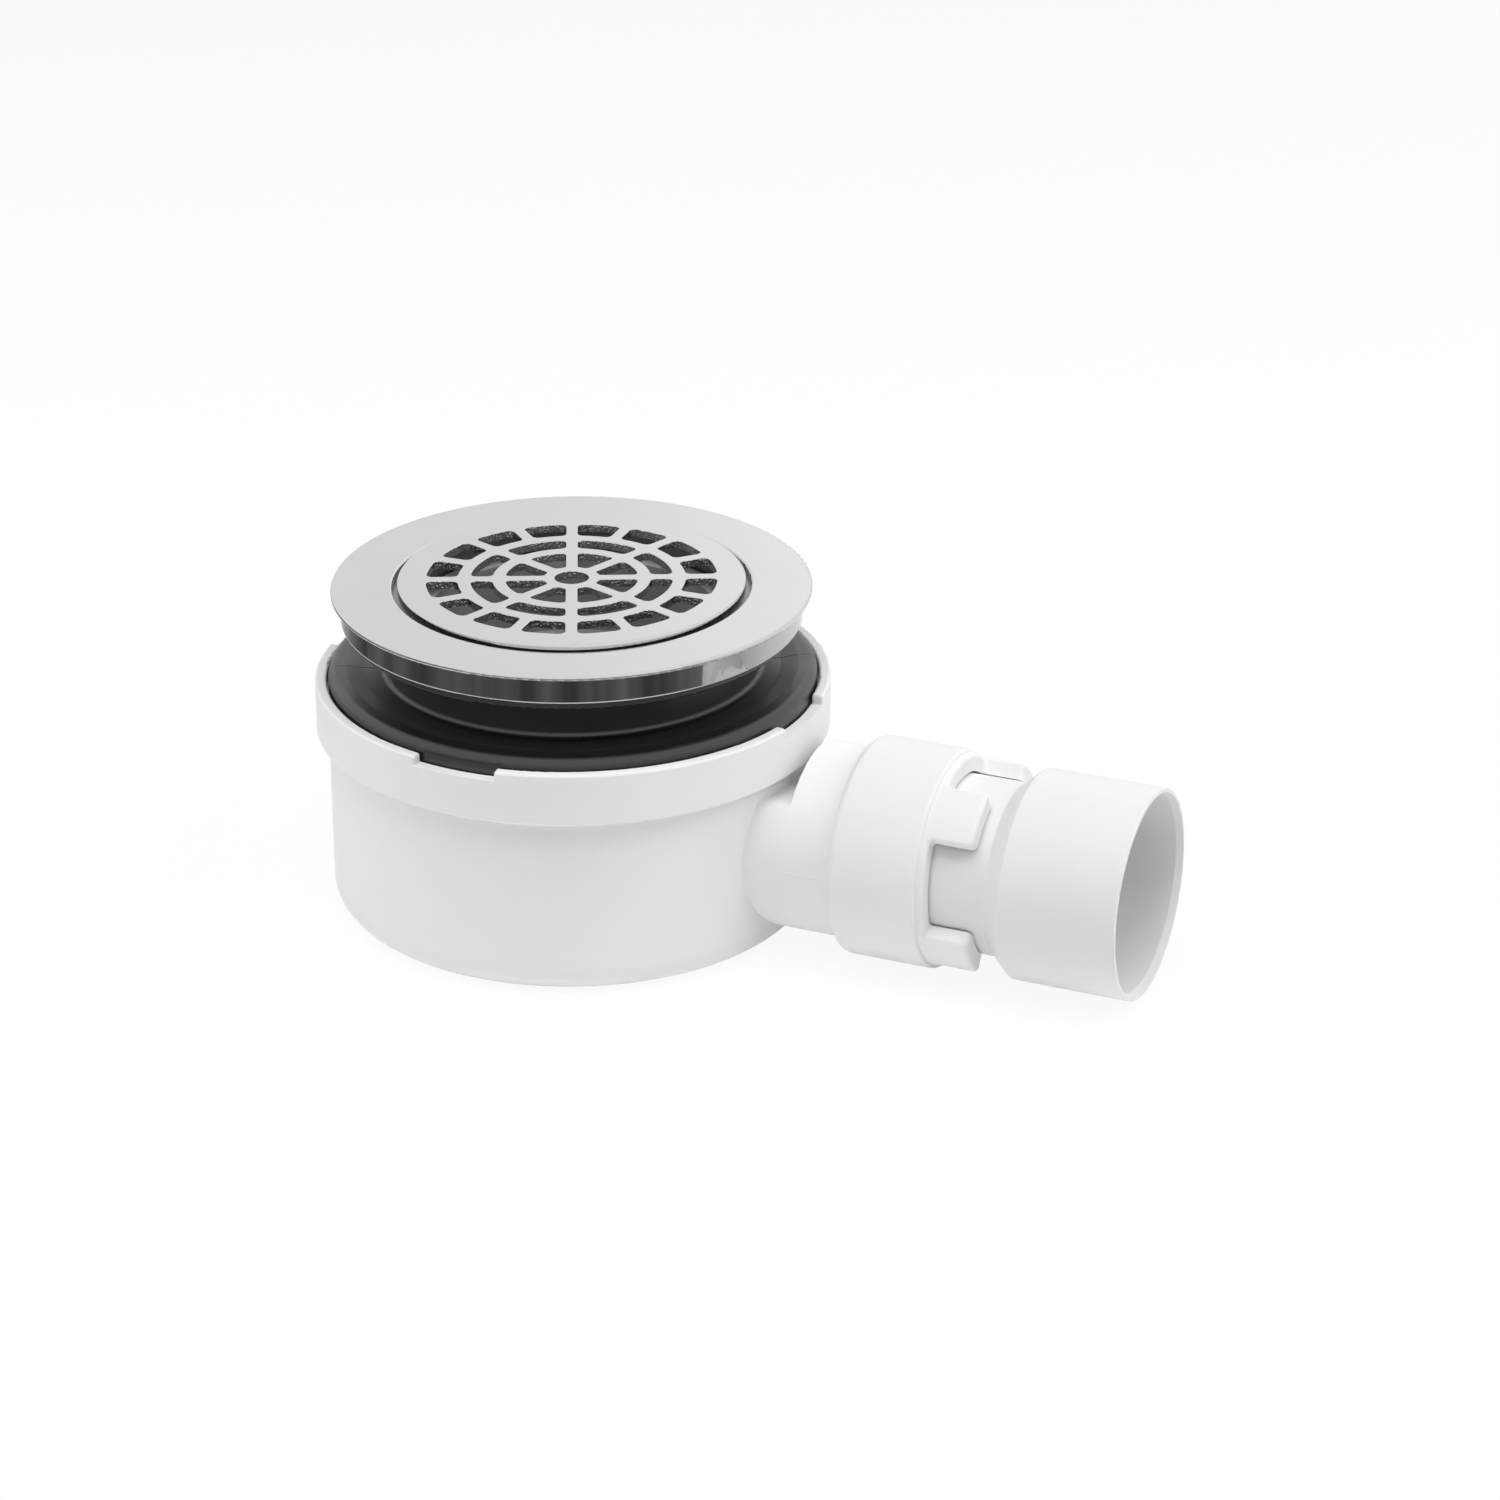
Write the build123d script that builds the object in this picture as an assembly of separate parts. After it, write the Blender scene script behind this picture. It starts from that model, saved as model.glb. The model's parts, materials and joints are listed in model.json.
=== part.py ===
from build123d import *
import os

# A low shower trap, in millimetres. The cup stands on z = 0 about the Z axis, and the outlet points to +X.
# The tray's hole drives the sizes round the body axis, and the connector's tube those round the outlet.

# Driving sizes of the tray gasket and the washer under the flange
tray_hole_diameter = 90.0
gasket_neck_wall = 2.1
gasket_neck_height = 15.9
gasket_disc_thickness = 5.3
gasket_ridge_height = 0.7
gasket_ridge_width = 4.5
gasket_ridge_slope = 4.0
gasket_ridge_round = 2.4
gasket_neck_round = 1.4
washer_width = 10.5
washer_thickness = 1.9
washer_round = 0.5

# Driving sizes of the flange
tail_wall = 4.0
tail_length = 30.2
drum_lip = 1.8
drum_height = 6.8
drum_round = 0.9
plate_lip = 2.2
plate_thickness = 1.3
plate_edge_round = 0.55
insert_seat_width = 1.2
insert_seat_depth = 9.3

# Driving sizes of the grid
grid_rest = 1.9
grid_gap = 1.2
grid_thickness = 3.2
grid_plate = 2.0
grid_proud = 1.2
grid_rim_width = 3.4
grid_edge_round = 0.6
grid_turn = 25.3
grid_border = 6.8
grid_bar = 2.8
grid_ring_width = 3.05
grid_spokes = 8
outer_slot_width = 7.45
middle_slot_width = 5.2
hub_hole_diameter = 8.1
hub_ring_width = 2.6
slot_round = 1.5
sector_round = 1.1
hole_edge_round = 0.2

# Driving sizes of the cup and its outlet arm
deck_width = 16.25
cup_wall = 2.6
cup_floor = 2.8
cup_base_round = 7.2
cup_inside_round = 4.0
cup_height = 51.0
arm_wall = 1.85
arm_length = 28.4
arm_socket_depth = 10.2
throat_step = 1.6
ledge_wall = 2.4
weir_thickness = 2.4

# Driving sizes of the collar
collar_wall = 2.75
collar_skirt = 5.9
collar_deck = 3.4
collar_rim = 3.4
collar_edge_round = 0.7
collar_boss_wall = 2.7
collar_boss_depth = 7.6
notch_count = 4
notch_angle = 19.4
notch_turn = -1.4
notch_depth = 2.3
notch_round = 0.6

# Driving sizes of the dip tube and its seal
insert_wall = 3.0
insert_rim = 2.0
insert_rim_round = 0.5
insert_cup_depth = 19.0
insert_funnel_drop = 8.0
dip_tube_diameter = 48.0
dip_tube_wall = 1.8
seal_height = 2.0
seal_round = 0.5
seal_groove_depth = 1.6
seal_from_seat = 7.0

# Driving sizes of the nut, its seal and the connector
connector_tube_diameter = 41.2
connector_tube_wall = 1.9
connector_tube_show = 13.5
connector_taper = 4.7
connector_diameter = 50.0
connector_wall = 1.8
connector_length = 28.4
connector_taper_round = 0.7
connector_mouth_round = 0.35
connector_lead_width = 0.8
connector_lead_depth = 1.6
nut_wall = 3.05
nut_length = 22.0
nut_cover = 16.2
nut_round = 1.8
nut_step = 0.9
nut_step_round = 0.8
lug_ring_length = 1.7
lug_length = 10.4
lug_angle = 33.4
lug_count = 4
lug_turn = 129.2
lug_round = 1.0
lug_corner_round = 1.4
lug_root_round = 1.0
outlet_seal_length = 4.8

# Named clearances
neck_clearance = 0.4
tail_clearance = 0.3
weld_clearance = 0.15
gasket_clearance = 0.45
insert_clearance = 0.7
insert_rim_clearance = 0.3
seal_clearance = 0.2
seal_side_clearance = 0.1
thread_clearance = 0.2
tube_clearance = 0.4
nut_lip_clearance = 0.5
outlet_seal_clearance = 0.3
floor_clearance = 0.2
collar_turning_gap = 4.5
ledge_gap = 2.3
weir_clear = 4.0
weir_gap = 5.8
dip_tube_clear = 6.2

# Radii about the body axis, outwards from the tray's hole and inwards from the tail
neck_radius = tray_hole_diameter / 2 - neck_clearance
tail_hole_radius = neck_radius - gasket_neck_wall
tail_radius = tail_hole_radius - tail_clearance
tail_bore_radius = tail_radius - tail_wall
insert_radius = tail_bore_radius - insert_clearance
insert_seat_radius = tail_bore_radius + insert_seat_width
grid_radius = insert_seat_radius + grid_rest
grid_hole_radius = grid_radius + grid_gap
washer_radius = tail_hole_radius + washer_width
drum_radius = washer_radius + drum_lip
plate_radius = drum_radius + plate_lip
collar_bore_radius = tail_hole_radius + deck_width
collar_radius = collar_bore_radius + collar_wall
cup_radius = collar_bore_radius - weld_clearance
cup_bore_radius = cup_radius - cup_wall
dip_tube_radius = dip_tube_diameter / 2

# Levels up the body axis, each from the piece that carries it
deck_top = cup_height + collar_deck
collar_top = deck_top + collar_rim
collar_bottom = cup_height - collar_skirt
gasket_top = deck_top + gasket_neck_height
drum_bottom = gasket_top + washer_thickness
plate_bottom = drum_bottom + drum_height
plate_top = plate_bottom + plate_thickness
grid_top = plate_top + grid_proud
grid_seat = grid_top - grid_thickness
insert_seat = plate_top - insert_seat_depth
tail_bottom = drum_bottom - tail_length
ledge_height = collar_bottom - collar_turning_gap
weir_height = tail_bottom - weir_clear

# Radii about the outlet's axis, outwards from the connector's tube, and the axis's height over the floor
connector_radius = connector_diameter / 2
connector_tube_radius = connector_tube_diameter / 2
throat_radius = connector_tube_radius - throat_step
socket_radius = connector_tube_radius + tube_clearance
arm_radius = socket_radius + arm_wall
nut_bore_radius = arm_radius + thread_clearance
nut_radius = nut_bore_radius + nut_wall
lug_ring_radius = nut_radius - nut_step
nut_lip_radius = connector_tube_radius + nut_lip_clearance
outlet_height = max(nut_radius, connector_radius) + floor_clearance

# Stations along the outlet, outwards from the collar
ledge_end_station = collar_radius + ledge_gap
arm_mouth_station = ledge_end_station + arm_length
connector_start_station = arm_mouth_station - arm_socket_depth
nut_start_station = arm_mouth_station - nut_cover
nut_step_station = nut_start_station + nut_length
lug_root_station = nut_step_station + lug_ring_length
lug_end_station = lug_root_station + lug_length
nut_shoulder_station = arm_mouth_station + outlet_seal_length
taper_start_station = lug_root_station + connector_tube_show
taper_end_station = taper_start_station + connector_taper
connector_end_station = taper_end_station + connector_length


def rounded_outline(corners):
    """A closed outline in the XZ plane: each corner is (across, up) or (across, up, rounding)."""
    outline = Plane.XZ * make_face(Polyline([corner[:2] for corner in corners], close=True))
    for corner in corners:
        if len(corner) == 3:
            place = Vector(corner[0], 0, corner[1])
            outline = fillet(outline.vertices().sort_by_distance(place)[0], corner[2])
    return outline


def turned(corners):
    """A body turned about Z from corners given as (radius, height[, rounding])."""
    return revolve(rounded_outline(corners), Axis.Z)


def turned_on_outlet(corners):
    """A body turned about the outlet's axis from corners given as (station, radius[, rounding])."""
    return Pos(0, 0, outlet_height) * revolve(rounded_outline(corners), Axis.X)


def outlet_rod(start, end, radius):
    """A round rod along the outlet's axis between two stations."""
    return turned_on_outlet([(start, 0), (start, radius), (end, radius), (end, 0)])


def above_height(height, end_station):
    """A block that covers all above a height, as far along the outlet as a station."""
    block_size = 4 * cup_radius
    return Pos(end_station - block_size / 2, 0, height + block_size / 2) * Box(
        block_size, block_size, block_size)


def make_trap_cup():
    """The cup and its outlet arm, one moulding with a weir inside that holds the water."""
    body = turned([(0, 0), (cup_radius, 0, cup_base_round), (cup_radius, cup_height), (0, cup_height)])
    arm = outlet_rod(0, arm_mouth_station, arm_radius) - above_height(ledge_height, ledge_end_station)
    shell = Rot(0, 0, 180) * body + arm
    hollow = turned([(0, cup_floor), (cup_bore_radius, cup_floor, cup_inside_round),
                     (cup_bore_radius, cup_height), (0, cup_height)])
    throat = outlet_rod(0, connector_start_station, throat_radius)
    roof = above_height(ledge_height - ledge_wall, ledge_end_station + ledge_wall)
    socket = outlet_rod(connector_start_station, arm_mouth_station, socket_radius)
    weir_station = dip_tube_radius + weir_gap + weir_thickness / 2
    weir = Pos(weir_station, 0, weir_height / 2) * Box(weir_thickness, 2 * cup_radius, weir_height)
    return shell - hollow - (throat - roof) - socket + (weir & hollow)


def make_trap_collar():
    """The collar: a skirt round the cup's rim, a deck for the gasket and a boss for the flange's tail."""
    boss_radius = tail_hole_radius + collar_boss_wall
    boss_bottom = cup_height - collar_boss_depth
    collar = turned([
        (tail_hole_radius, boss_bottom), (tail_hole_radius, deck_top), (collar_bore_radius, deck_top),
        (collar_bore_radius, collar_top, collar_edge_round), (collar_radius, collar_top, collar_edge_round),
        (collar_radius, collar_bottom, collar_edge_round), (collar_bore_radius, collar_bottom),
        (collar_bore_radius, cup_height), (boss_radius, cup_height), (boss_radius, boss_bottom)])
    notch_face = rounded_outline([
        (collar_bore_radius - collar_wall, collar_top - notch_depth),
        (collar_radius + collar_wall, collar_top - notch_depth),
        (collar_radius + collar_wall, collar_top + notch_depth),
        (collar_bore_radius - collar_wall, collar_top + notch_depth)])
    notch = revolve(notch_face, Axis.Z, revolution_arc=notch_angle)
    for index in range(notch_count):
        turn = notch_turn - notch_angle / 2 + index * 360 / notch_count
        collar -= Rot(0, 0, turn) * notch
    return fillet([edge for edge in collar.edges() if is_notch_corner(edge)], notch_round)


def is_notch_corner(edge):
    """True for the straight top edge at each end of a notch, across the collar's wall."""
    ends = [edge @ 0, edge @ 1]
    at_top = all(abs(place.Z - collar_top) < 0.01 for place in ends)
    return at_top and edge.geom_type == GeomType.LINE


def make_tray_gasket():
    """The rubber gasket: a disc in the collar with a rounded ridge, and a neck up through the tray."""
    disc_radius = collar_bore_radius - gasket_clearance
    disc_top = deck_top + gasket_disc_thickness
    ridge_top = disc_top + gasket_ridge_height
    ridge_inner = disc_radius - gasket_ridge_width
    return turned([
        (tail_hole_radius, deck_top), (disc_radius, deck_top), (disc_radius, ridge_top, gasket_ridge_round),
        (ridge_inner, ridge_top, gasket_ridge_round),
        (ridge_inner - gasket_ridge_slope, disc_top, gasket_ridge_round),
        (neck_radius, disc_top, gasket_neck_round),
        (neck_radius, gasket_top), (tail_hole_radius, gasket_top)])


def make_flange_washer():
    """The flat rubber washer between the flange's drum and the tray."""
    return turned([
        (tail_hole_radius, gasket_top), (washer_radius, gasket_top, washer_round),
        (washer_radius, drum_bottom, washer_round), (tail_hole_radius, drum_bottom)])


def make_waste_flange():
    """The chromed flange: a thin plate, a drum below it, seats for grid and insert, and the tail."""
    return turned([
        (tail_bore_radius, tail_bottom), (tail_bore_radius, insert_seat), (insert_seat_radius, insert_seat),
        (insert_seat_radius, grid_seat), (grid_hole_radius, grid_seat),
        (grid_hole_radius, plate_top, plate_edge_round), (plate_radius, plate_top, plate_edge_round),
        (plate_radius, plate_bottom, plate_edge_round), (drum_radius, plate_bottom),
        (drum_radius, drum_bottom, drum_round), (tail_radius, drum_bottom), (tail_radius, tail_bottom)])


def ring_slot(inner, outer, pitch, corner_round):
    """One slot of a ring, centred on +X: two arcs, and sides that leave a bar of even width beside it."""
    half_bar = grid_bar / 2
    half_angle = pitch / 2
    ring = make_face(Circle(outer).edges()) - Circle(inner)
    reach = 2 * outer
    upper_side = Rot(0, 0, half_angle) * Pos(reach / 2, reach - half_bar) * Rectangle(2 * reach, 2 * reach)
    lower_side = Rot(0, 0, -half_angle) * Pos(reach / 2, half_bar - reach) * Rectangle(2 * reach, 2 * reach)
    window = Pos(reach / 2, 0) * Rectangle(reach, 2 * reach)
    slot = (ring & window) - upper_side - lower_side
    return fillet(slot.vertices(), corner_round)


def ring_of_slots(inner, outer, count, corner_round):
    """A ring of equal slots, with a bar on +X and on every step round from it."""
    pitch = 360 / count
    slot = ring_slot(inner, outer, pitch, corner_round)
    return [Rot(0, 0, (index + 0.5) * pitch) * slot for index in range(count)]


def make_grid():
    """The drop-in grid: a flat plate on a rim, with rings of slots between straight bars."""
    rim_inner = grid_radius - grid_rim_width
    under_plate = grid_top - grid_plate
    plate = turned([
        (0, under_plate), (rim_inner, under_plate), (rim_inner, grid_seat), (grid_radius, grid_seat),
        (grid_radius, grid_top, grid_edge_round), (0, grid_top)])
    outer_slot_end = grid_radius - grid_border
    outer_slot_start = outer_slot_end - outer_slot_width
    middle_slot_end = outer_slot_start - grid_ring_width
    middle_slot_start = middle_slot_end - middle_slot_width
    sector_end = middle_slot_start - grid_ring_width
    sector_start = hub_hole_diameter / 2 + hub_ring_width
    holes = [Circle(hub_hole_diameter / 2)]
    holes += ring_of_slots(sector_start, sector_end, grid_spokes, sector_round)
    holes += ring_of_slots(middle_slot_start, middle_slot_end, grid_spokes, slot_round)
    holes += ring_of_slots(outer_slot_start, outer_slot_end, 2 * grid_spokes, slot_round)
    cutters = [extrude(Pos(0, 0, grid_seat) * hole, 2 * grid_thickness) for hole in holes]
    grid = plate - cutters
    hole_edges = [edge for edge in grid.edges() if is_hole_edge(edge)]
    return Rot(0, 0, grid_turn) * fillet(hole_edges, hole_edge_round)


def is_hole_edge(edge):
    """True for the upper edges of the grid's holes, which lie on its flat top inside the border."""
    middle = edge @ 0.5
    on_top = all(abs(place.Z - grid_top) < 0.01 for place in (edge @ 0, middle, edge @ 1))
    return on_top and Vector(middle.X, middle.Y, 0).length < grid_radius - grid_border / 2


def make_dip_tube():
    """The insert: a cup that hangs in the tail, a funnel, and a tube that dips into the water."""
    rim_radius = insert_seat_radius - insert_rim_clearance
    inner_radius = insert_radius - insert_wall
    groove_radius = insert_radius - seal_groove_depth
    groove_top = insert_seat - seal_from_seat
    groove_bottom = groove_top - seal_height - seal_side_clearance
    cup_bottom = insert_seat - insert_cup_depth
    tube_bore = dip_tube_radius - dip_tube_wall
    funnel_foot = cup_bottom - insert_funnel_drop
    tube_foot = cup_floor + dip_tube_clear
    rim_top = insert_seat + insert_rim
    return turned([
        (tube_bore, tube_foot), (dip_tube_radius, tube_foot), (dip_tube_radius, funnel_foot),
        (insert_radius, cup_bottom), (insert_radius, groove_bottom), (groove_radius, groove_bottom),
        (groove_radius, groove_top), (insert_radius, groove_top), (insert_radius, insert_seat),
        (rim_radius, insert_seat), (rim_radius, rim_top, insert_rim_round),
        (inner_radius, rim_top, insert_rim_round),
        (inner_radius, cup_bottom + dip_tube_wall), (tube_bore, funnel_foot + dip_tube_wall)])


def make_dip_tube_seal():
    """The rubber ring in the dip tube's groove."""
    groove_bottom = insert_seat - seal_from_seat - seal_height - seal_side_clearance
    inner = insert_radius - seal_groove_depth + seal_side_clearance
    outer = tail_bore_radius - seal_clearance
    return turned([
        (inner, groove_bottom), (outer, groove_bottom, seal_round),
        (outer, groove_bottom + seal_height, seal_round), (inner, groove_bottom + seal_height)])


def make_outlet_nut():
    """The compression nut: a plain barrel, a step, and lugs left between slots in the outer end."""
    nut = turned_on_outlet([
        (nut_start_station, nut_bore_radius), (nut_start_station, nut_radius, nut_round),
        (nut_step_station, nut_radius, nut_step_round), (nut_step_station, lug_ring_radius),
        (lug_end_station, lug_ring_radius), (lug_end_station, nut_lip_radius),
        (nut_shoulder_station, nut_lip_radius), (nut_shoulder_station, nut_bore_radius)])
    slot_face = rounded_outline([
        (lug_root_station, nut_lip_radius / 2), (lug_root_station, nut_radius),
        (lug_end_station + lug_length, nut_radius), (lug_end_station + lug_length, nut_lip_radius / 2)])
    lug_pitch = 360 / lug_count
    slot = revolve(slot_face, Axis.X, revolution_arc=lug_pitch - lug_angle)
    for index in range(lug_count):
        slot_start = lug_turn + index * lug_pitch + lug_angle / 2
        nut -= Pos(0, 0, outlet_height) * Rot(slot_start - 90, 0, 0) * slot
    nut = fillet(edges_across_wall(nut, lug_end_station), lug_corner_round)
    nut = fillet(edges_across_wall(nut, lug_root_station), lug_root_round)
    return fillet([edge for edge in nut.edges() if is_lug_outline(edge)], lug_round)


def from_outlet_axis(place):
    """How far a place lies from the outlet's axis."""
    return Vector(0, place.Y, place.Z - outlet_height).length


def edges_across_wall(nut, station):
    """The straight edges of the nut that run across its wall at a station."""
    straight = nut.edges().filter_by(GeomType.LINE)
    return [edge for edge in straight
            if all(abs(place.X - station) < 0.01 for place in (edge @ 0, edge @ 1))]


def is_lug_outline(edge):
    """True for the edges round the outside of the lugs and along the roots of the slots between them."""
    places = [edge @ share for share in (0, 0.5, 1)]
    on_outside = all(abs(from_outlet_axis(place) - lug_ring_radius) < 0.02 for place in places)
    return on_outside and places[1].X > lug_root_station - 0.01


def make_outlet_seal():
    """The rubber ring between the arm's mouth and the nut's shoulder."""
    inner = connector_tube_radius + outlet_seal_clearance
    return turned_on_outlet([
        (arm_mouth_station, inner), (arm_mouth_station, arm_radius),
        (nut_shoulder_station, arm_radius), (nut_shoulder_station, inner)])


def make_outlet_connector():
    """The stepped connector: a tube in the arm's socket, a taper, and the end that takes the waste pipe."""
    bore = connector_radius - connector_wall
    tube_bore = connector_tube_radius - connector_tube_wall
    return turned_on_outlet([
        (connector_start_station, tube_bore), (connector_start_station, connector_tube_radius),
        (taper_start_station, connector_tube_radius, connector_taper_round),
        (taper_end_station, connector_radius, connector_taper_round),
        (connector_end_station, connector_radius, connector_mouth_round),
        (connector_end_station, bore + connector_lead_width),
        (connector_end_station - connector_lead_depth, bore),
        (taper_end_station, bore), (taper_start_station, tube_bore)])


pieces = {
    "trap_cup": make_trap_cup(),
    "trap_collar": make_trap_collar(),
    "tray_gasket": make_tray_gasket(),
    "flange_washer": make_flange_washer(),
    "waste_flange": make_waste_flange(),
    "grid": make_grid(),
    "dip_tube": make_dip_tube(),
    "dip_tube_seal": make_dip_tube_seal(),
    "outlet_nut": make_outlet_nut(),
    "outlet_seal": make_outlet_seal(),
    "outlet_connector": make_outlet_connector(),
}

os.makedirs("parts", exist_ok=True)
for name, piece in pieces.items():
    export_step(piece, f"parts/{name}.step")
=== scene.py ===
# %% [markdown]
# # A low shower trap
# The CAD frame brings the trap's solids: a white cup with its outlet arm, a collar, a rubber tray
# gasket, a chromed flange with a drop-in grid, and a nut and connector on the outlet. Their shapes are
# already true, so this lesson sets the camera, gives each piece the finish of the real material, and
# lights the trap in a plain studio.

# %% Load the CAD frame
import json
from math import cos, radians, sin
import bpy
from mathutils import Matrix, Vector


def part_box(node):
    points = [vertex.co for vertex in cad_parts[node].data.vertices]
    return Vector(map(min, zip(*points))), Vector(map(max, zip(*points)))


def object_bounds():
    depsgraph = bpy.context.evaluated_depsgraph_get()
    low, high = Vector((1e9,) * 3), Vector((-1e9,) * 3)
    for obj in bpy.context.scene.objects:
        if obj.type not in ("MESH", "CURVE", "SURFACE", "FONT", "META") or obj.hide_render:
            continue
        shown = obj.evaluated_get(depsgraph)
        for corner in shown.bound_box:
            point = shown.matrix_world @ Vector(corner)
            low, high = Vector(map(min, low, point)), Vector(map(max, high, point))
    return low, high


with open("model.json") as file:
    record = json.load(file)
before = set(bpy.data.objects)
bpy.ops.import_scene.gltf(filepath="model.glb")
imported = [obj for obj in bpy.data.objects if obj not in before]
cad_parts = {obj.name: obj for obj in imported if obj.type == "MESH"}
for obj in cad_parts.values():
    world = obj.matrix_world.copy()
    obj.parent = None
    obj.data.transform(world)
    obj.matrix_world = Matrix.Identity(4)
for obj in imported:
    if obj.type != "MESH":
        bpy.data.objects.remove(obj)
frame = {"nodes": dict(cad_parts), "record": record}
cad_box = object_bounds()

nodes = frame["nodes"]
box_in_mm = [[round(1000 * c, 1) for c in corner] for corner in cad_box]
print("frame:", len(nodes), "pieces, box in mm", box_in_mm)

# %% [markdown]
# ## The camera
# A camera could be moved by hand until the picture looks right. Here its place, direction and lens are
# worked out from the photograph: the outlines of flange, collar, cup and outlet fix where it was taken.

# %% Camera
camera_place = Vector((0.4399, -0.9085, 0.4895))
camera_look = Vector((-0.3629, 0.8370, -0.4096))
sensor_mm = 36.0
lens_mm = 110.24


def facing(look):
    """The turn that points a camera, a lamp or a card along a direction."""
    return look.to_track_quat("-Z", "Y").to_euler()


bpy.ops.object.camera_add(location=camera_place, rotation=facing(camera_look))
camera = bpy.context.active_object
camera.data.sensor_width = sensor_mm
camera.data.lens = lens_mm
bpy.context.scene.camera = camera
bpy.context.scene.view_settings.view_transform = "Standard"
print("camera at", [round(c, 3) for c in camera_place])

# %% [markdown]
# ## What every moulded surface shares
# A moulded surface is never one flat colour. The tool steel leaves a grain much finer than a
# millimetre, and the melt cools unevenly, so gloss and tone drift softly over some centimetres. Painted
# textures would need unwrapped meshes. Noise in a node group needs none, and each finish places the
# group with its own sizes. The noise reads Object coordinates, so the pattern stays in the piece and
# doesn't slide when the piece is turned.

# %% Node helpers
def feed(tree, socket, value):
    """Link a node's input to another node's output, or set it to a fixed value."""
    if isinstance(value, bpy.types.NodeSocket):
        tree.links.new(value, socket)
    else:
        socket.default_value = value


def add_math(tree, operation, first, second=0.0):
    """A math node on sockets or numbers."""
    node = tree.nodes.new("ShaderNodeMath")
    node.operation = operation
    feed(tree, node.inputs[0], first)
    feed(tree, node.inputs[1], second)
    return node.outputs[0]


def place_on_piece(tree):
    """The place on a piece, in the piece's own coordinates."""
    return tree.nodes.new("ShaderNodeTexCoord").outputs["Object"]


def add_noise(tree, place, scale, detail):
    """Soft random lumps, with values about one half."""
    noise = tree.nodes.new("ShaderNodeTexNoise")
    feed(tree, noise.inputs["Vector"], place)
    feed(tree, noise.inputs["Scale"], scale)
    feed(tree, noise.inputs["Detail"], detail)
    return noise.outputs["Fac"]


print("helpers for math, places and noise ready")

# %% The moulded skin group
usual_drift_size = 0.02
usual_grain_size = 0.0004


def add_socket(group, name, direction, default=None):
    """A float socket of a node group."""
    socket = group.interface.new_socket(name=name, in_out=direction, socket_type="NodeSocketFloat")
    if default is not None:
        socket.default_value = default


def make_skin_group(name, tone_detail, grain_detail):
    """A group with a coarse drift, Tone, and a fine texture, Grain. The sizes are in metres."""
    group = bpy.data.node_groups.new(name, "ShaderNodeTree")
    add_socket(group, "Drift Size", "INPUT", usual_drift_size)
    add_socket(group, "Grain Size", "INPUT", usual_grain_size)
    add_socket(group, "Tone", "OUTPUT")
    add_socket(group, "Grain", "OUTPUT")
    entry = group.nodes.new("NodeGroupInput")
    result = group.nodes.new("NodeGroupOutput")
    for effect, size, detail in (("Tone", "Drift Size", tone_detail),
                                 ("Grain", "Grain Size", grain_detail)):
        lumps_per_metre = add_math(group, "DIVIDE", 1.0, entry.outputs[size])
        lumps = add_noise(group, place_on_piece(group), lumps_per_metre, detail)
        feed(group, result.inputs[effect], lumps)
    return group


moulded_skin = make_skin_group("moulded_skin", tone_detail=3.0, grain_detail=2.0)
print("group:", moulded_skin.name, [item.name for item in moulded_skin.interface.items_tree])

# %% [markdown]
# ## The finish builder
# White plastic, grey plastic, rubber and chrome differ in numbers, not in structure, so one function
# makes them all. Tone picks a colour between two close ones and a roughness between two close ones, and
# Grain goes into a Bump node as a height in metres.

# %% Helpers for a finish
def map_range(tree, value, before, after=(0.0, 1.0), smooth=False):
    """Carry a value from one range to another. Smooth eases it in and out at the ends."""
    node = tree.nodes.new("ShaderNodeMapRange")
    node.interpolation_type = "SMOOTHSTEP" if smooth else "LINEAR"
    for name, limit in zip(("From Min", "From Max", "To Min", "To Max"), (*before, *after)):
        node.inputs[name].default_value = limit
    feed(tree, node.inputs["Value"], value)
    return node.outputs["Result"]


def add_mix(tree, kind, share, first, second):
    """A mix of two colours, numbers or vectors. A share of 1 is all of the second."""
    node = tree.nodes.new("ShaderNodeMix")
    node.data_type = kind
    feed(tree, node.inputs["Factor"], share)
    feed(tree, node.inputs["A"], first)
    feed(tree, node.inputs["B"], second)
    return node.outputs["Result"]


def tree_and_shader(material):
    """A finish's node tree and the shader in it."""
    return material.node_tree, material.node_tree.nodes["Principled BSDF"]


def add_bump(material, height, distance):
    """Raise a finish by a height from 0 to 1 times a distance in metres, on top of any earlier bump."""
    tree, shader = tree_and_shader(material)
    bump = tree.nodes.new("ShaderNodeBump")
    bump.inputs["Distance"].default_value = distance
    feed(tree, bump.inputs["Height"], height)
    earlier = shader.inputs["Normal"].links
    if earlier:
        feed(tree, bump.inputs["Normal"], earlier[0].from_socket)
    feed(tree, shader.inputs["Normal"], bump.outputs["Normal"])


print("helpers for ranges, mixes and bumps ready")

# %% A finish from two colours, two roughnesses and a grain
tone_range = (0.3, 0.7)
plain_ior = 1.5


def grey(level):
    """A neutral colour."""
    return (level, level, level, 1.0)


def make_finish(name, colours, roughness, drift_size, grain_size, grain_height,
                ior=plain_ior, metallic=0.0):
    """A material whose colour and gloss drift between two values, with a fine grain on the surface."""
    material = bpy.data.materials.new(name)
    material.use_nodes = True
    tree, shader = tree_and_shader(material)
    skin = tree.nodes.new("ShaderNodeGroup")
    skin.node_tree = moulded_skin
    skin.inputs["Drift Size"].default_value = drift_size
    skin.inputs["Grain Size"].default_value = grain_size
    tone = skin.outputs["Tone"]
    feed(tree, shader.inputs["Base Color"], add_mix(tree, "RGBA", tone, *colours))
    feed(tree, shader.inputs["Roughness"], map_range(tree, tone, tone_range, roughness))
    add_bump(material, skin.outputs["Grain"], grain_height)
    shader.inputs["IOR"].default_value = ior
    shader.inputs["Metallic"].default_value = metallic
    return material


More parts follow.
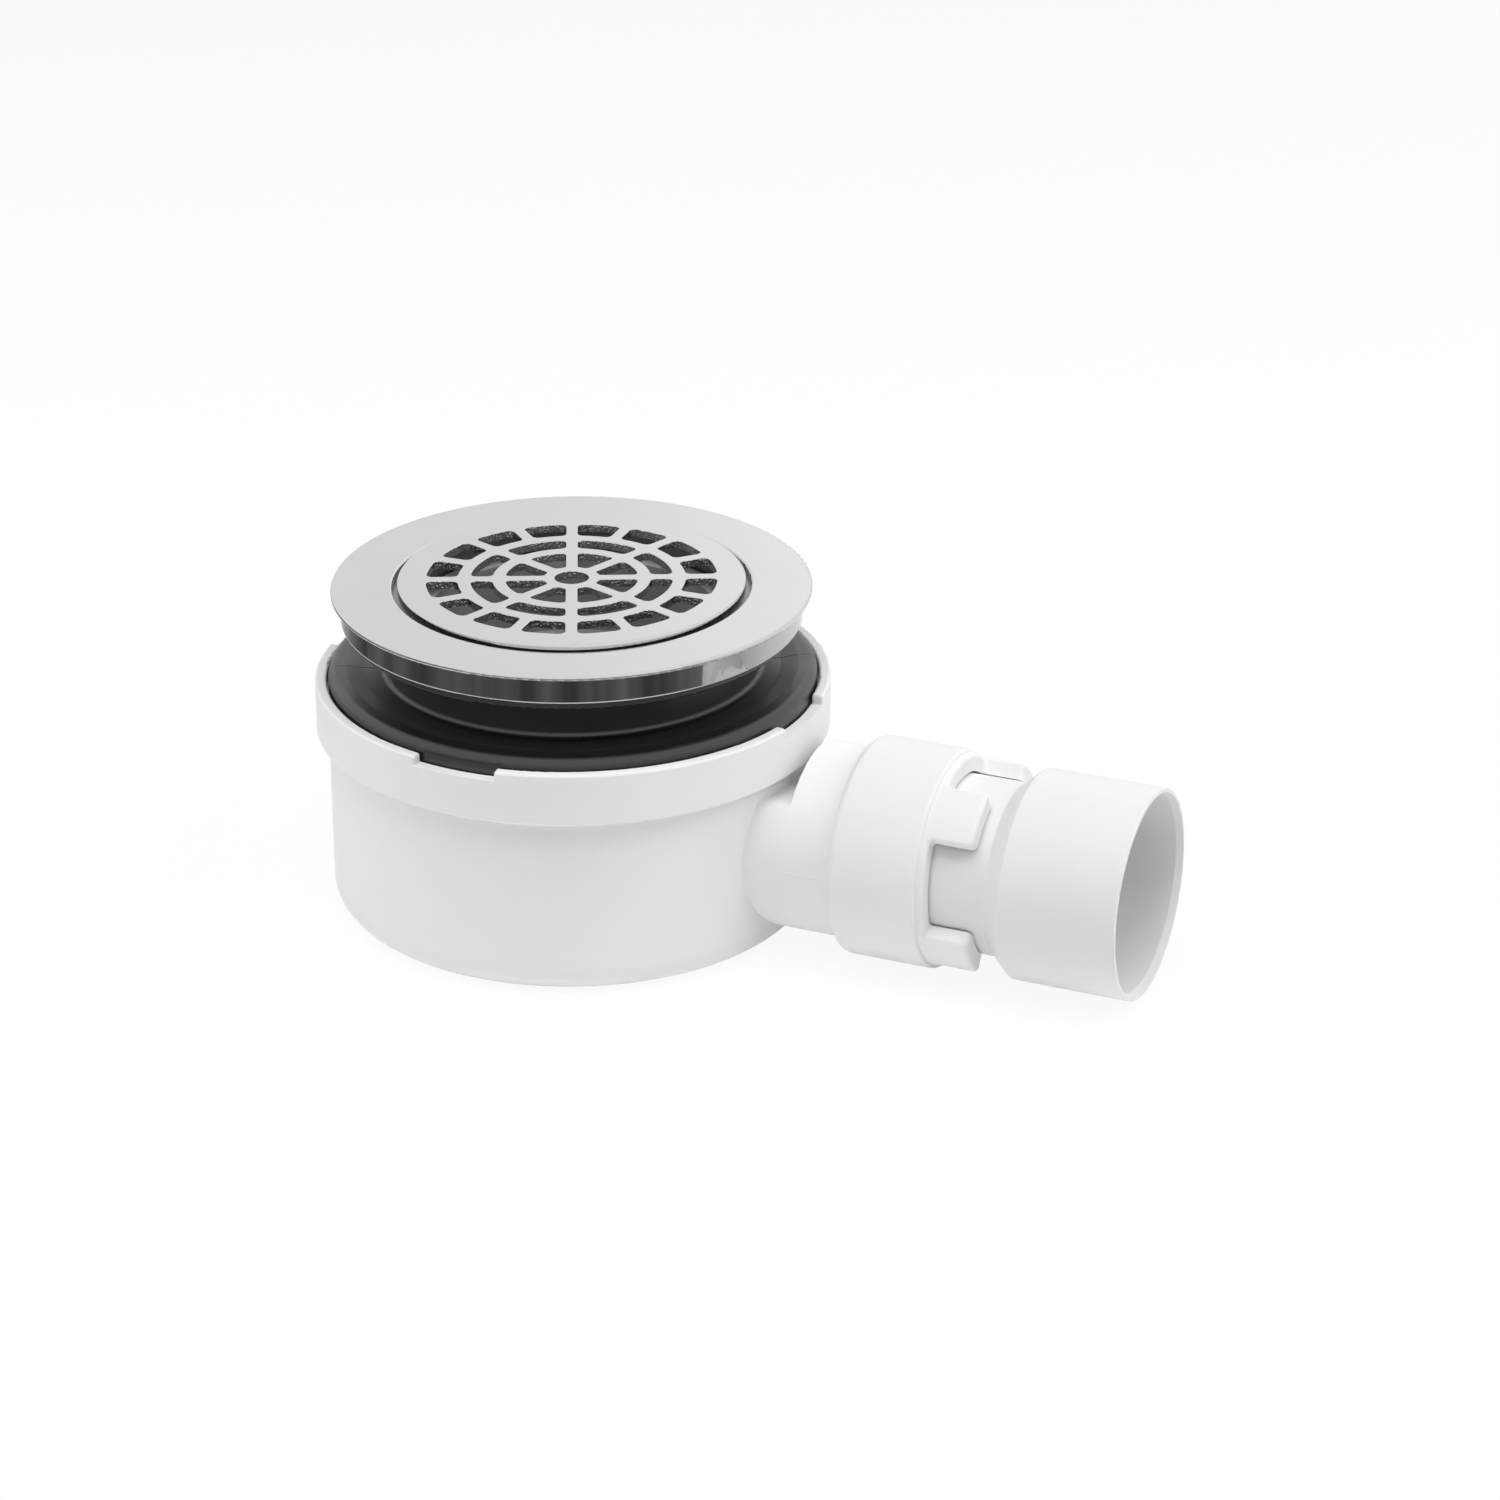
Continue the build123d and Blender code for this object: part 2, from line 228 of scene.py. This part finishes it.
def dress(material, *names):
    """Put a finish on CAD pieces, whose meshes stay as they are."""
    for name in names:
        slots = nodes[name].data.materials
        slots.clear()
        slots.append(material)
    print(material.name, "on", ", ".join(names))


print("finish builder ready")

# %% [markdown]
# ## Mould seams
# Where the two halves of a mould meet, they leave a fine raised line. It could be modelled, but it is a
# tenth of a millimetre high at most, so a bump is enough. The line lies in one plane: the distance from
# that plane draws a narrow ridge, which is kept to one side of a limit along X.

# %% The seam builder
seam_half_width = 0.0004


def add_vector_math(tree, operation, first, second=None):
    """A vector math node on one or two sockets or fixed values."""
    node = tree.nodes.new("ShaderNodeVectorMath")
    node.operation = operation
    feed(tree, node.inputs[0], first)
    if second is not None:
        feed(tree, node.inputs["Scale"] if operation == "SCALE" else node.inputs[1], second)
    return node.outputs["Value" if operation in ("LENGTH", "DOT_PRODUCT") else "Vector"]


def split(tree, vector):
    """The X, Y and Z of a vector."""
    node = tree.nodes.new("ShaderNodeSeparateXYZ")
    feed(tree, node.inputs[0], vector)
    return node.outputs


def add_seam(material, across, level, from_x, height):
    """A fine raised line where a plane meets the surface, for X above a limit."""
    tree = material.node_tree
    place = place_on_piece(tree)
    reach = add_vector_math(tree, "DOT_PRODUCT", place, across)
    off_plane = add_math(tree, "ABSOLUTE", add_math(tree, "SUBTRACT", reach, level))
    ridge = map_range(tree, off_plane, (0.0, seam_half_width), (1.0, 0.0), smooth=True)
    wanted = add_math(tree, "GREATER_THAN", split(tree, place)["X"], from_x)
    add_bump(material, add_math(tree, "MULTIPLY", ridge, wanted), height)


print("seam builder ready, seams", 2000 * seam_half_width, "mm wide")

# %% [markdown]
# ## White polypropylene
# The cup, collar, nut and connector are injection moulded from a neutral white plastic with a soft
# gloss. One material could serve all four, but the connector gets a copy that is a touch greyer than
# the nut's. A faint seam runs along the cup's outlet arm
# at the height of the outlet's axis, where the mould opened. It starts just outside the collar.

# %% White plastic
white = (grey(0.85), grey(0.89))
greyer_white = (grey(0.80), grey(0.84))
white_pieces = {"trap_cup": white, "trap_collar": white, "outlet_nut": white,
                "outlet_connector": greyer_white}
for name, colours in white_pieces.items():
    plastic = make_finish(
        "white_plastic_" + name, colours, roughness=(0.42, 0.52),
        drift_size=0.025, grain_size=0.0005, grain_height=0.000004, ior=1.45)
    dress(plastic, name)

# %% The seam along the outlet arm
mounts = {mount["name"]: mount for mount in frame["record"]["mounts"]}
arm_middle = mounts["outlet"]["pos_m"][2]
arm_start = 0.0625
arm_seam_height = 0.00005
upwards = (0.0, 0.0, 1.0)
add_seam(nodes["trap_cup"].data.materials[0], upwards, arm_middle, arm_start, arm_seam_height)
print("arm seam at a height of", round(1000 * arm_middle, 1), "mm")

# %% [markdown]
# ## Black rubber
# The gasket, the washer and the seals are soft rubber. The skin is satin: it stays black where it faces
# the viewer and lightens softly at a flat angle. A sheen layer could give that pale edge too, but a
# higher index of refraction does it with the gloss alone. The gasket's mould leaves a seam across its
# disc. The limit along X lies outside the piece, so this seam runs right across.

# %% Black rubber
black_rubber = make_finish(
    "black_rubber", colours=(grey(0.003), grey(0.006)), roughness=(0.34, 0.42),
    drift_size=0.012, grain_size=0.0006, grain_height=0.000002, ior=1.75)
seam_turn = radians(27.0)
across_seam = (-sin(seam_turn), cos(seam_turn), 0.0)
gasket_seam_height = 0.0001
add_seam(black_rubber, across_seam, level=0.0, from_x=-1.0, height=gasket_seam_height)
dress(black_rubber, "tray_gasket", "flange_washer", "dip_tube_seal", "outlet_seal")

# %% [markdown]
# ## Grey plastic, lightened as painted light
# The dip tube hangs below the grid, and only its wall shows between the bars. It is plain grey plastic,
# so the finish builder's own gloss is enough. Its grey is set lighter than the plastic's own, as
# painted light for the dim space below the grid.

# %% Grey plastic
# The lighter grey is painted light for the dim space below the grid.
grey_plastic = make_finish(
    "grey_plastic", colours=(grey(0.36), grey(0.42)), roughness=(0.40, 0.52),
    drift_size=0.015, grain_size=0.0005, grain_height=0.00001)
dress(grey_plastic, "dip_tube")

# %% [markdown]
# ## Chrome
# The flange and the grid are plated. Plating could be built as a coat over plastic, but nothing of the
# base shows through it, so a metal shader is enough. Its roughness is very small and drifts a little,
# as on metal that hands have wiped. Some places need other values: a mask marks them by their distance
# from the trap's upright axis and by their height, and a mix puts the other value there.

# %% Chrome and masks round the axis
without_height = (1.0, 1.0, 0.0)
mix_kinds = {"Base Color": "RGBA", "Roughness": "FLOAT", "Normal": "VECTOR"}


def make_chrome(name):
    """Plated metal for the faces that show."""
    return make_finish(
        name, colours=(grey(0.64), grey(0.68)), roughness=(0.03, 0.07),
        drift_size=0.018, grain_size=0.0012, grain_height=0.0000006, metallic=1.0)


def ring_mask(tree, inner=None, outer=None, low=None, high=None):
    """A mask that is 1 between two radii round the upright axis and two heights. None is no limit."""
    place = place_on_piece(tree)
    radius = add_vector_math(tree, "LENGTH", add_vector_math(tree, "MULTIPLY", place, without_height))
    height = split(tree, place)["Z"]
    mask = 1.0
    for value, operation, limit in ((radius, "GREATER_THAN", inner), (radius, "LESS_THAN", outer),
                                    (height, "GREATER_THAN", low), (height, "LESS_THAN", high)):
        if limit is not None:
            mask = add_math(tree, "MULTIPLY", mask, add_math(tree, operation, value, limit))
    return mask


def blend_where(material, mask, name, value):
    """Give an input of a finish's shader another value where a mask is 1."""
    tree, shader = tree_and_shader(material)
    before = shader.inputs[name].links[0].from_socket
    feed(tree, shader.inputs[name], add_mix(tree, mix_kinds[name], mask, before, value))


flange_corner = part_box("waste_flange")[1]
flange_radius = flange_corner[0]
flange_top = flange_corner[2]
flange_chrome = make_chrome("flange_chrome")
dress(flange_chrome, "waste_flange")

# %% [markdown]
# ## The bore and the drum, with painted shade
# Below the grid the bore's chrome has a dark grey colour, painted shade for the dim space there, and it
# is duller. The drum below the flange's plate gets a share of the plate's brightness, a painted darker
# reflection. In the photograph the drum below the flange's plate is darker than the plate. Why isn't
# known, so its chrome simply has a share of the plate's brightness. Bore and drum could have materials
# of their own, but on the real flange they are one plated piece with the plate, so they stay one
# material.

# %% The bore and the drum
bore_radius = 0.0427
bore_drop = 0.0006
bore_painted_shade_colour = grey(0.30)
bore_roughness = 0.35
plate_thickness = 0.0013
drum_painted_shade_share = 0.72
tone_step = 0.0001
drum_top = flange_top - plate_thickness
bore_top = flange_top - bore_drop


def paint_shade_below(material, height, share):
    """Multiply a chrome's colour by a share below a height, as painted shade."""
    tree, shader = tree_and_shader(material)
    plated = shader.inputs["Base Color"].links[0].from_socket
    edge = (height - tone_step, height + tone_step)
    kept = map_range(tree, split(tree, place_on_piece(tree))["Z"], edge, (share, 1.0))
    feed(tree, shader.inputs["Base Color"], add_vector_math(tree, "MULTIPLY", plated, kept))


# The drum's chrome below the plate gets a painted darker reflection.
paint_shade_below(flange_chrome, drum_top, drum_painted_shade_share)
# In the bore the dark grey colour is painted shade, and the higher roughness makes it dull.
bore_shade_and_dull = ring_mask(flange_chrome.node_tree, outer=bore_radius, high=bore_top)
blend_where(flange_chrome, bore_shade_and_dull, "Base Color", bore_painted_shade_colour)
blend_where(flange_chrome, bore_shade_and_dull, "Roughness", bore_roughness)
print("drum below", round(1000 * drum_top, 1), "mm, bore below", round(1000 * bore_top, 1), "mm")

# %% [markdown]
# ## Rounded chrome edges
# The real edges are smooth rounds. The CAD mesh has small flat facets there, and a mirror shows each
# one as a tooth where dark and bright meet. A finer mesh would mend that, but the CAD mesh isn't
# changed. Instead the plate's rim is rougher, which blurs the teeth away. The drum's lower edge has to
# mirror sharply, so its normals come from a formula: on a true round they point away from the nearest
# place on the ring in the middle of the round.

# %% The plate's rim and the drum's lower edge
rim_width = 0.0006
rim_roughness = 0.30
plate_lip = 0.0022
drum_height = 0.0068
drum_round = 0.0009


def soften_rim(material, radius, low):
    """Make a chrome rougher outside a radius and above a height."""
    rim = ring_mask(material.node_tree, inner=radius, low=low)
    blend_where(material, rim, "Roughness", rim_roughness)


def true_round(material, ring_radius, ring_height):
    """Mirror as a true round does, outside a ring and below its height."""
    tree = material.node_tree
    place = place_on_piece(tree)
    flat = add_vector_math(tree, "MULTIPLY", place, without_height)
    out_to_ring = add_vector_math(tree, "SCALE", add_vector_math(tree, "NORMALIZE", flat), ring_radius)
    nearest = add_vector_math(tree, "ADD", out_to_ring, (0.0, 0.0, ring_height))
    away = add_vector_math(tree, "NORMALIZE", add_vector_math(tree, "SUBTRACT", place, nearest))
    turn = tree.nodes.new("ShaderNodeVectorTransform")
    turn.vector_type = "NORMAL"
    turn.convert_from = "OBJECT"
    turn.convert_to = "WORLD"
    feed(tree, turn.inputs[0], away)
    on_round = ring_mask(tree, inner=ring_radius, high=ring_height)
    blend_where(material, on_round, "Normal", turn.outputs[0])


ring_radius = flange_radius - plate_lip - drum_round
ring_height = drum_top - drum_height + drum_round
soften_rim(flange_chrome, flange_radius - rim_width, drum_top)
true_round(flange_chrome, ring_radius, ring_height)
print("drum's round about a ring of radius", round(1000 * ring_radius, 1), "mm")

# %% [markdown]
# ## The grid's cast walls
# The slots' walls glitter in the photograph, as the rough skin of a casting does after plating, while
# the grid's top is polished. Modelled lumps would need a mesh much finer than the CAD one, so the same
# chrome gets a second, coarser bump. A mask from the surface normal keeps it off every face that looks
# up, and a radius keeps it off the grid's smooth outer edge. The rim is softened as the flange's is.

# %% Cast walls
cast_size = 0.0006
cast_detail = 2.0
cast_height = 0.00025
fade_towards_up = (0.3, 0.8)
plain_border = 0.004
grid_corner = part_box("grid")[1]
grid_radius = grid_corner[0]
grid_top = grid_corner[2]


def roughen_walls(material, radius):
    """Put a coarse grain on a chrome's faces that don't look up, within a radius."""
    tree = material.node_tree
    normal = tree.nodes.new("ShaderNodeNewGeometry").outputs["Normal"]
    not_up = map_range(tree, split(tree, normal)["Z"], fade_towards_up, (1.0, 0.0))
    wanted = add_math(tree, "MULTIPLY", not_up, ring_mask(tree, outer=radius))
    lumps = add_noise(tree, place_on_piece(tree), 1 / cast_size, cast_detail)
    add_bump(material, add_math(tree, "MULTIPLY", lumps, wanted), cast_height)


grid_chrome = make_chrome("grid_chrome")
roughen_walls(grid_chrome, grid_radius - plain_border)
soften_rim(grid_chrome, grid_radius - rim_width, grid_top - rim_width)
dress(grid_chrome, "grid")

# %% [markdown]
# ## The studio floor
# The photograph shows the trap on pure white. More light would bleach the white plastic too, so the
# floor is a pale card that is lifted to white only in what the camera and the chrome see of it. It
# still keeps a soft shadow. Other rays meet a pale card with a faint glow, which lights the undersides.

# %% Studio helpers
def add_card(name, size, place, turn=(0, 0, 0)):
    """A square card that belongs to the studio."""
    bpy.ops.object.select_all(action="DESELECT")
    bpy.ops.mesh.primitive_plane_add(size=size, location=place, rotation=turn)
    card = bpy.context.active_object
    card.name = name
    return card


def background_rays(tree):
    """A value that is 1 for rays that show the background: seen directly, in gloss or through glass."""
    path = tree.nodes.new("ShaderNodeLightPath")
    seen = path.outputs["Is Camera Ray"]
    for other in ("Is Glossy Ray", "Is Transmission Ray"):
        seen = add_math(tree, "MAXIMUM", seen, path.outputs[other])
    return seen


def show_mix(tree, output, share, first, second):
    """Send a mix of two shaders to a tree's output. A share of 1 is all of the second."""
    mix = tree.nodes.new("ShaderNodeMixShader")
    for socket, source in zip(mix.inputs, (share, first.outputs[0], second.outputs[0])):
        tree.links.new(source, socket)
    tree.links.new(mix.outputs[0], tree.nodes[output].inputs["Surface"])


print("helpers for cards, rays and mixed shaders ready")

# %% Floor
floor_size = 80.0
floor_level = 0.9
floor_glow = 0.12
floor_lift = 0.9
floor = add_card("floor", floor_size, (0, 0, 0))
floor_card = bpy.data.materials.new("floor_card")
floor_card.use_nodes = True
floor_tree, floor_shader = tree_and_shader(floor_card)
floor_shader.inputs["Base Color"].default_value = grey(floor_level)
floor_shader.inputs["Roughness"].default_value = 1.0
floor_shader.inputs["Specular IOR Level"].default_value = 0.0
floor_shader.inputs["Emission Color"].default_value = grey(1.0)
floor_shader.inputs["Emission Strength"].default_value = floor_glow
white_glow = floor_tree.nodes.new("ShaderNodeEmission")
lifted = add_math(floor_tree, "MULTIPLY", background_rays(floor_tree), floor_lift)
show_mix(floor_tree, "Material Output", lifted, floor_shader, white_glow)
floor.data.materials.append(floor_card)
print("floor", floor_size, "m wide")

# %% [markdown]
# ## The white room
# Behind the floor the room is white as well. A white world would also flood the trap with light from
# all sides and flatten it, so only the camera and the chrome see it white. To other rays it is dim.

# %% World
room_light = 0.03
world = bpy.data.worlds.new("studio")
bpy.context.scene.world = world
world.use_nodes = True
world_tree = world.node_tree
dim_room = world_tree.nodes["Background"]
white_room = world_tree.nodes.new("ShaderNodeBackground")
for room, strength in ((dim_room, room_light), (white_room, 1.0)):
    room.inputs["Color"].default_value = grey(1.0)
    room.inputs["Strength"].default_value = strength
show_mix(world_tree, "World Output", background_rays(world_tree), dim_room, white_room)
print("room with light", room_light)

# %% [markdown]
# ## A dark mat for the chrome
# Chrome mostly shows what stands around it. In the photograph the flange's drum looks nearly black, as
# if it mirrored a dark room low down on the side of the camera. Dark paint on the drum mirrors nothing,
# so besides the drum's painted darker reflection a mat stands in for that room. It starts well outside
# the trap, and only glossy rays see it, so it throws no shadow and doesn't show on the white floor.
# Soft streaks outwards from the middle break up the mirrored dark, and towards the back the mat fades
# away.

# %% Cards that only gloss sees
def show_in_gloss_only(card):
    """Let only glossy rays meet a card."""
    card.visible_camera = False
    card.visible_diffuse = False
    card.visible_transmission = False
    card.visible_shadow = False


def make_glow(name):
    """A material that only shines, with its node tree and its shader."""
    material = bpy.data.materials.new(name)
    material.use_nodes = True
    tree, plain_shader = tree_and_shader(material)
    tree.nodes.remove(plain_shader)
    return material, tree, tree.nodes.new("ShaderNodeEmission")


print("helpers for cards in gloss ready")

# %% Dark mat
mat_size = 4.0
mat_height = 0.001
mat_edge = (0.15, 0.19)
mat_levels = (0.065, 0.20)
mat_turn = radians(260.0)
mat_spread = (-0.95, 0.20)
streak_scale = 5.0
streak_detail = 3.0
streak_range = (0.35, 0.75)
mat = add_card("dark_mat", mat_size, (0, 0, mat_height))
show_in_gloss_only(mat)
dark_room, mat_tree, dark_glow = make_glow("dark_room")
mat_place = place_on_piece(mat_tree)
direction = add_vector_math(mat_tree, "NORMALIZE", mat_place)
streaks = add_noise(mat_tree, direction, streak_scale, streak_detail)
feed(mat_tree, dark_glow.inputs["Strength"], map_range(mat_tree, streaks, streak_range, mat_levels))
distance = add_vector_math(mat_tree, "LENGTH", mat_place)
clear_of_trap = map_range(mat_tree, distance, mat_edge, smooth=True)
mat_middle = (cos(mat_turn), sin(mat_turn), 0.0)
towards_middle = add_vector_math(mat_tree, "DOT_PRODUCT", direction, mat_middle)
on_camera_side = map_range(mat_tree, towards_middle, mat_spread, smooth=True)
cover = add_math(mat_tree, "MULTIPLY", clear_of_trap, on_camera_side)
see_through = mat_tree.nodes.new("ShaderNodeBsdfTransparent")
show_mix(mat_tree, "Material Output", cover, see_through, dark_glow)
mat.data.materials.append(dark_room)
print("dark mat from", mat_edge[0], "m")

# %% [markdown]
# ## A bright card for the chrome's top
# The flat plate mirrors what hangs behind the trap. In the photograph the plate brightens to the right,
# so a pale card that does the same hangs there. It is placed where the camera's middle ray goes after
# the plate has mirrored it, which is the camera's direction with its height turned over.

# %% Bright card
plate_middle = Vector((0, 0, 0.08))
mirrored_look = Vector((camera_look.x, camera_look.y, -camera_look.z))
card_size = 1.6
card_distance = 2.0
card_levels = (0.94, 1.15)
card_spread = 0.16
card_place = plate_middle + card_distance * mirrored_look
bright_card = add_card("bright_card", card_size, card_place, facing(mirrored_look))
show_in_gloss_only(bright_card)
pale_card, card_tree, pale_glow = make_glow("pale_card")
sideways = split(card_tree, place_on_piece(card_tree))["X"]
pale_level = map_range(card_tree, sideways, (-card_spread, card_spread), card_levels, smooth=True)
feed(card_tree, pale_glow.inputs["Strength"], pale_level)
card_tree.links.new(pale_glow.outputs[0], card_tree.nodes["Material Output"].inputs["Surface"])
bright_card.data.materials.append(pale_card)
print("bright card at", [round(c, 2) for c in card_place])

# %% [markdown]
# ## Soft boxes
# The photograph's plastic is brightest where it faces up, and the right flank is brighter than the
# left. So one soft box hangs overhead and a little in front, two stand on the right, one of them high,
# and weaker ones on the left and near in front open the flanks. The chrome mirrors the white room and
# the cards but not the lamps, because a lamp would burn a hard white line along every rounded edge.

# %% Lamps
lamp_aim = Vector((0.03, 0, 0.04))


def add_soft_box(name, place, size, power):
    """A square area lamp that faces the trap and doesn't show in gloss."""
    bpy.ops.object.light_add(type="AREA", location=place, rotation=facing(lamp_aim - Vector(place)))
    lamp = bpy.context.active_object
    lamp.name = name
    lamp.data.shape = "SQUARE"
    lamp.data.size = size
    lamp.data.energy = power
    lamp.visible_glossy = False


add_soft_box("soft_box_top", (0.0, -0.27, 1.5), size=1.0, power=11.2)
add_soft_box("soft_box_right", (1.15, 0.9, 0.64), size=1.0, power=7.8)
add_soft_box("soft_box_high", (1.0, 0.0, 1.2), size=0.8, power=7.8)
add_soft_box("soft_box_left", (-1.03, -0.3, 0.48), size=0.7, power=4.2)
add_soft_box("soft_box_front", (0.05, -0.45, 0.75), size=0.5, power=1.5)
print("5 soft boxes")

# %% [markdown]
# ## The end
# The dressed part keeps the CAD part's size, as its meshes stay as they are.

# %% Finish
print("end of the scene")
